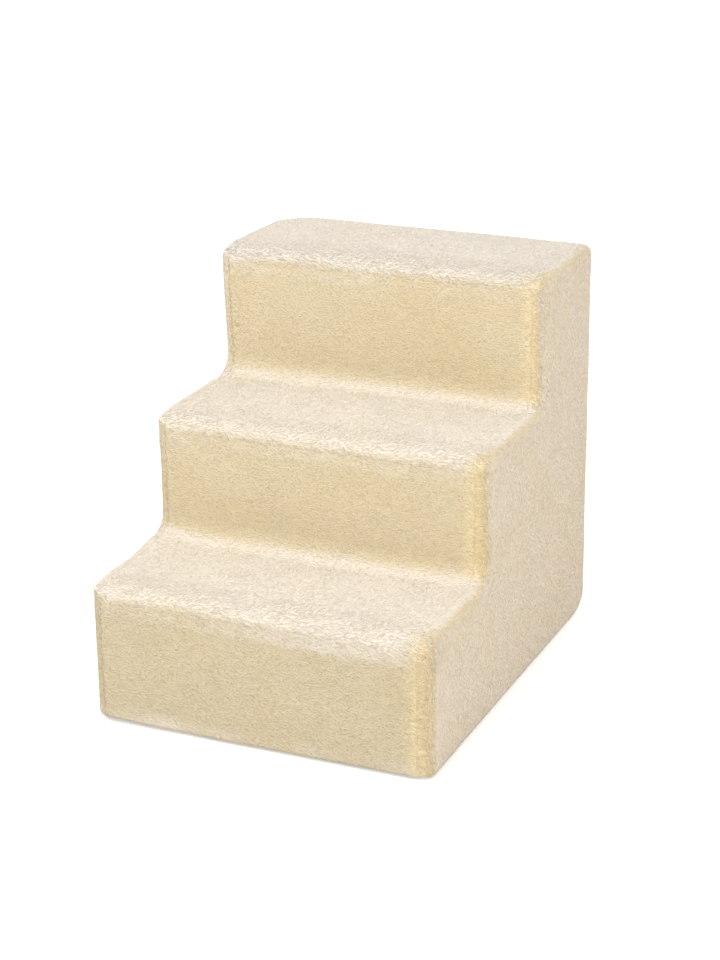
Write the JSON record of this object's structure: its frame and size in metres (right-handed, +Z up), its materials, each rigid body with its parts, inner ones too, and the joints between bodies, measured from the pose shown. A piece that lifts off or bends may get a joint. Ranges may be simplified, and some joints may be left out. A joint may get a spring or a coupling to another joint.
{
  "type": "pet stairs",
  "caption": "Free-standing stepped stairs for a small pet: a snap-together moulded frame under a fitted plush cover with a zip down the back.",
  "frame": {"origin": "on the floor under the middle of the stairs' box", "axes": "+Z up, +Y from the lowest step towards the back, +X to the right of someone who faces the steps"},
  "size_m": [0.35, 0.44, 0.4],
  "materials": {
    "step_plush": "short dense plush, brushed on the risers and clumped along the noses",
    "side_plush": "short smooth plush",
    "hem_fabric": "plain weave binding",
    "elastic": "ribbed flat elastic",
    "frame_plastic": "fine moulded texture",
    "rubber": "matt",
    "zip_tape": "herringbone tape",
    "zip_plastic": "satin moulded teeth",
    "zip_metal": "tumbled satin plating"
  },
  "bodies": {
    "root": {"cover_step_strip": "step_plush", "cover_left_side": "side_plush", "cover_right_side": "side_plush", "cover_back_left": "side_plush", "cover_back_right": "side_plush", "hem_tunnel": "hem_fabric", "hem_elastic": "elastic", "side_frame_left": "frame_plastic", "side_frame_right": "frame_plastic", "tread_board_lower": "frame_plastic", "tread_board_middle": "frame_plastic", "tread_board_upper": "frame_plastic", "riser_board_lower": "frame_plastic", "riser_board_middle": "frame_plastic", "riser_board_upper": "frame_plastic", "rear_board": "frame_plastic", "floor_rail": "frame_plastic", "rubber_feet": "rubber", "zip_tape_left": "zip_tape", "zip_tape_right": "zip_tape", "zip_teeth_left": "zip_plastic", "zip_teeth_right": "zip_plastic", "zip_top_stops": "zip_plastic", "zip_end_stop": "zip_plastic"},
    "slider": {"zip_slider": "zip_metal"},
    "pull": {"zip_pull": "zip_metal"}
  },
  "joints": [
    {"name": "zip_slide", "type": "slide", "parent": "root", "child": "slider", "axis": [0, 0, 1], "range_m": [0, 0.229], "deforming": ["zip_teeth_left", "zip_teeth_right"]},
    {"name": "pull_swing", "type": "hinge", "parent": "slider", "child": "pull", "pos_m": [0, 0.2171, 0.0538], "axis": [1, 0, 0], "range_deg": [0, 160]}
  ]
}
